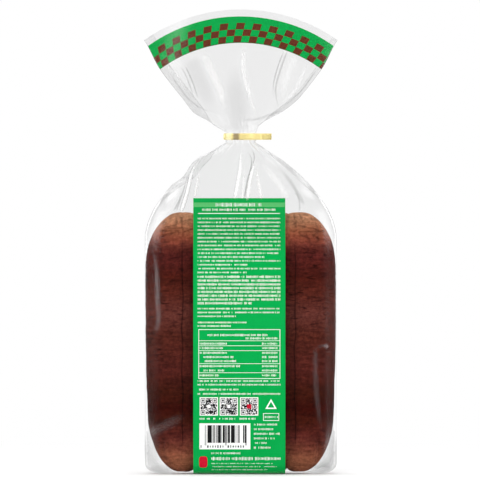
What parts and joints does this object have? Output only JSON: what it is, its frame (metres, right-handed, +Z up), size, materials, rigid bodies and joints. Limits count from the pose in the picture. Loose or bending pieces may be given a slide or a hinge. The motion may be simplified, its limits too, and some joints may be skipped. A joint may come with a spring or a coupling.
{
  "type": "pack of milk buns",
  "caption": "Clear gusseted film bag of long malt milk buns, standing on its base, gathered with a gold twist tie below a fanned mouth, with a printed back panel.",
  "frame": {"origin": "middle of the base on which the pack stands", "axes": "+Z up towards the fanned mouth, -Y out of the printed back panel, +X towards the twist tie's tail"},
  "size_m": [0.1475, 0.055, 0.354],
  "materials": {
    "clear_film": "clear glossy oriented polypropylene film",
    "gold_foil": "metallised gold foil strip",
    "bun_crust": "matt baked malt crust",
    "green_print": "green ink on film",
    "pale_green_print": "pale green ink on film",
    "brown_print": "brown ink on film",
    "white_print": "white ink on film",
    "black_print": "black ink on film",
    "red_print": "red ink on film"
  },
  "bodies": {
    "root": {"bag": "clear_film", "twist_tie": "gold_foil"}
  },
  "joints": []
}
